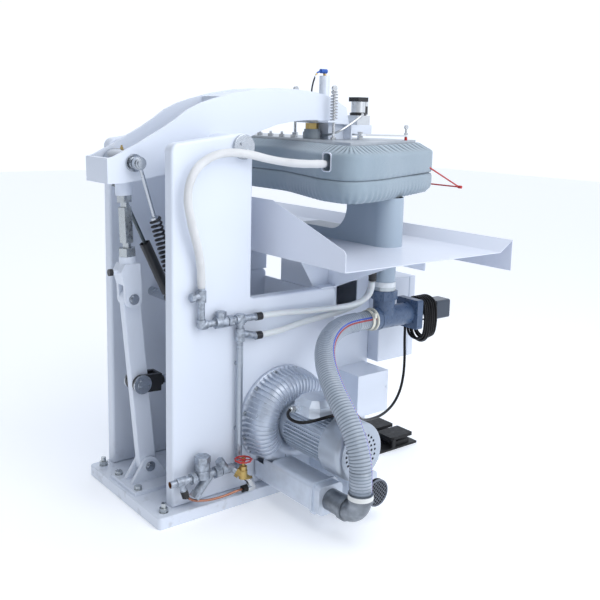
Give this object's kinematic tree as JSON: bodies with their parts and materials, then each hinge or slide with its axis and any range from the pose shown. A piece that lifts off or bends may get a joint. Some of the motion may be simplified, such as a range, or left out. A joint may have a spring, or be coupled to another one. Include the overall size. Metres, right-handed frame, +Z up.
{
  "type": "steam press",
  "caption": "Steam utility press with a toggle-closed head arm, padded buck on a vacuum pedestal, work tray, steam pipework and side-channel blower.",
  "frame": {"origin": "on the floor, under the head arm, half way along the base plate", "axes": "+Z up, the operator stands at -Y, the service side with the blower faces -X"},
  "size_m": [1.5449, 1.395, 1.425],
  "materials": {
    "white_paint": "gloss",
    "grey_paint": "satin",
    "black_paint": "satin",
    "red_paint": "gloss",
    "steel": "satin",
    "zinc_iron": "satin",
    "bare_aluminium": "satin",
    "brass": "satin",
    "copper": "satin",
    "black_rubber": "matte",
    "pad_cloth": "matte",
    "white_sleeve": "matte",
    "silicone_hose": "satin",
    "clear_hose": "satin",
    "valve_plastic": "gloss",
    "black_plastic": "matte"
  },
  "bodies": {
    "frame": {"base_plate": "white_paint", "near_side_plate": "white_paint", "far_side_plate": "white_paint", "cross_members": "white_paint", "frame_bolts": "steel", "pivot_shaft": "steel", "toggle_foot": "white_paint", "fixed_pins": "steel", "front_column": "white_paint", "front_console": "white_paint", "pedal_plate": "black_paint", "tray_brackets": "white_paint", "work_tray": "white_paint", "pedestal_duct": "grey_paint", "buck_table": "bare_aluminium", "buck_pad": "pad_cloth", "vacuum_valve": "valve_plastic", "valve_cylinder": "steel", "blower_housing": "bare_aluminium", "motor_housing": "bare_aluminium", "fan_cowl": "bare_aluminium", "silencers": "bare_aluminium", "hose_fittings": "zinc_iron", "vacuum_hose": "clear_hose", "motor_cable": "black_rubber", "steam_pipework": "zinc_iron", "steam_valve": "brass", "copper_tube": "copper", "buck_hoses": "silicone_hose", "insulated_hose": "white_sleeve"},
    "head_arm": {"arm_channel": "white_paint", "arm_cover": "white_paint", "trunnion_studs": "steel", "head_mount": "white_paint", "head_platen": "bare_aluminium", "head_pad": "pad_cloth", "head_hardware": "steel", "float_springs": "steel", "head_fittings": "steel", "pressure_switch": "white_paint", "top_cylinder": "bare_aluminium"},
    "lower_toggle": {"lower_link": "white_paint", "link_pins": "steel"},
    "upper_toggle": {"upper_clevis": "steel", "turnbuckle": "steel", "trunnion_barrel": "steel"},
    "closing_cylinder": {"air_cylinder": "black_paint"},
    "closing_rod": {"cylinder_rod": "steel"},
    "spring_anchor": {"spring_foot": "steel", "return_spring": "steel"},
    "spring_pull": {"spring_rod": "steel"},
    "damper_body": {"damper_tube": "black_paint"},
    "damper_stem": {"damper_rod": "steel"},
    "safety": {"safety_bar": "red_paint"},
    "door": {"console_door": "white_paint"},
    "pedal_near": {"near_pedal": "black_plastic"},
    "pedal_far": {"far_pedal": "black_plastic"},
    "wheel": {"handwheel": "red_paint"},
    "rotor": {"blower_rotor": "steel"},
    "piston": {"valve_piston": "steel"}
  },
  "joints": [
    {"name": "arm_hinge", "type": "hinge", "parent": "frame", "child": "head_arm", "pos_m": [0, 0.142, 1.159], "axis": [-1, 0, 0], "range_deg": [0, 26], "deforming": ["return_spring", "insulated_hose"]},
    {"name": "lower_toggle_pivot", "type": "hinge", "parent": "frame", "child": "lower_toggle", "pos_m": [0, 0.364, 0.098], "axis": [1, 0, 0], "range_deg": [0, 28.8]},
    {"name": "knee", "type": "hinge", "parent": "lower_toggle", "child": "upper_toggle", "pos_m": [0, 0.417, 0.672], "axis": [-1, 0, 0], "range_deg": [0, 61.3]},
    {"name": "cylinder_pivot", "type": "hinge", "parent": "frame", "child": "closing_cylinder", "pos_m": [0, -0.195, 0.35], "axis": [-1, 0, 0], "range_deg": [0, 0.91]},
    {"name": "cylinder_stroke", "type": "slide", "parent": "closing_cylinder", "child": "closing_rod", "axis": [0, -0.9981, -0.0613], "range_m": [0, 0.1431]},
    {"name": "spring_anchor_pivot", "type": "hinge", "parent": "frame", "child": "spring_anchor", "pos_m": [-0.11, 0.3, 0.66], "axis": [1, 0, 0], "range_deg": [0, 1.61]},
    {"name": "spring_pull_pivot", "type": "hinge", "parent": "head_arm", "child": "spring_pull", "pos_m": [-0.11, 0.436, 1.106], "axis": [1, 0, 0], "range_deg": [0, 27.61]},
    {"name": "damper_foot_pivot", "type": "hinge", "parent": "frame", "child": "damper_body", "pos_m": [0.06, 0.239, 0.64], "axis": [1, 0, 0], "range_deg": [0, 4.01]},
    {"name": "damper_head_pivot", "type": "hinge", "parent": "head_arm", "child": "damper_stem", "pos_m": [0.06, 0.425, 1.033], "axis": [1, 0, 0], "range_deg": [0, 30.01]},
    {"name": "safety_bar_push", "type": "slide", "parent": "head_arm", "child": "safety", "axis": [0, 0.9088, 0.4172], "range_m": [0, 0.012], "stiffness_N_per_m": 600, "springref_m": -0.012},
    {"name": "door_hinge", "type": "hinge", "parent": "frame", "child": "door", "pos_m": [0.155, -0.701, 0.49], "axis": [0, 0, 1], "range_deg": [0, 110]},
    {"name": "near_pedal_hinge", "type": "hinge", "parent": "frame", "child": "pedal_near", "pos_m": [-0.19, -0.564, 0.034], "axis": [1, 0, 0], "range_deg": [0, 5], "stiffness_Nm_per_rad": 4, "springref_deg": -6.88},
    {"name": "far_pedal_hinge", "type": "hinge", "parent": "frame", "child": "pedal_far", "pos_m": [-0.083, -0.564, 0.034], "axis": [1, 0, 0], "range_deg": [0, 5], "stiffness_Nm_per_rad": 4, "springref_deg": -6.88},
    {"name": "handwheel_turn", "type": "hinge", "parent": "frame", "child": "wheel", "pos_m": [-0.294, 0.172, 0.167], "axis": [0, 0, 1], "range_deg": [0, 720]},
    {"name": "rotor_spin", "type": "hinge", "parent": "frame", "child": "rotor", "pos_m": [-0.4, -0.025, 0.258], "axis": [1, 0, 0], "continuous": true},
    {"name": "valve_stroke", "type": "slide", "parent": "frame", "child": "piston", "axis": [0, -1, 0], "range_m": [0, 0.045]}
  ],
  "couplings": [
    {"joint": "lower_toggle_pivot", "follows": "arm_hinge", "ratio": 1.1075},
    {"joint": "knee", "follows": "arm_hinge", "ratio": 2.3565},
    {"joint": "cylinder_pivot", "follows": "arm_hinge", "ratio": 0.034615},
    {"joint": "cylinder_stroke", "follows": "arm_hinge", "m_per_rad": 0.31513},
    {"joint": "spring_anchor_pivot", "follows": "arm_hinge", "ratio": 0.061538},
    {"joint": "spring_pull_pivot", "follows": "arm_hinge", "ratio": 1.0615},
    {"joint": "damper_foot_pivot", "follows": "arm_hinge", "ratio": 0.15385},
    {"joint": "damper_head_pivot", "follows": "arm_hinge", "ratio": 1.1538}
  ]
}
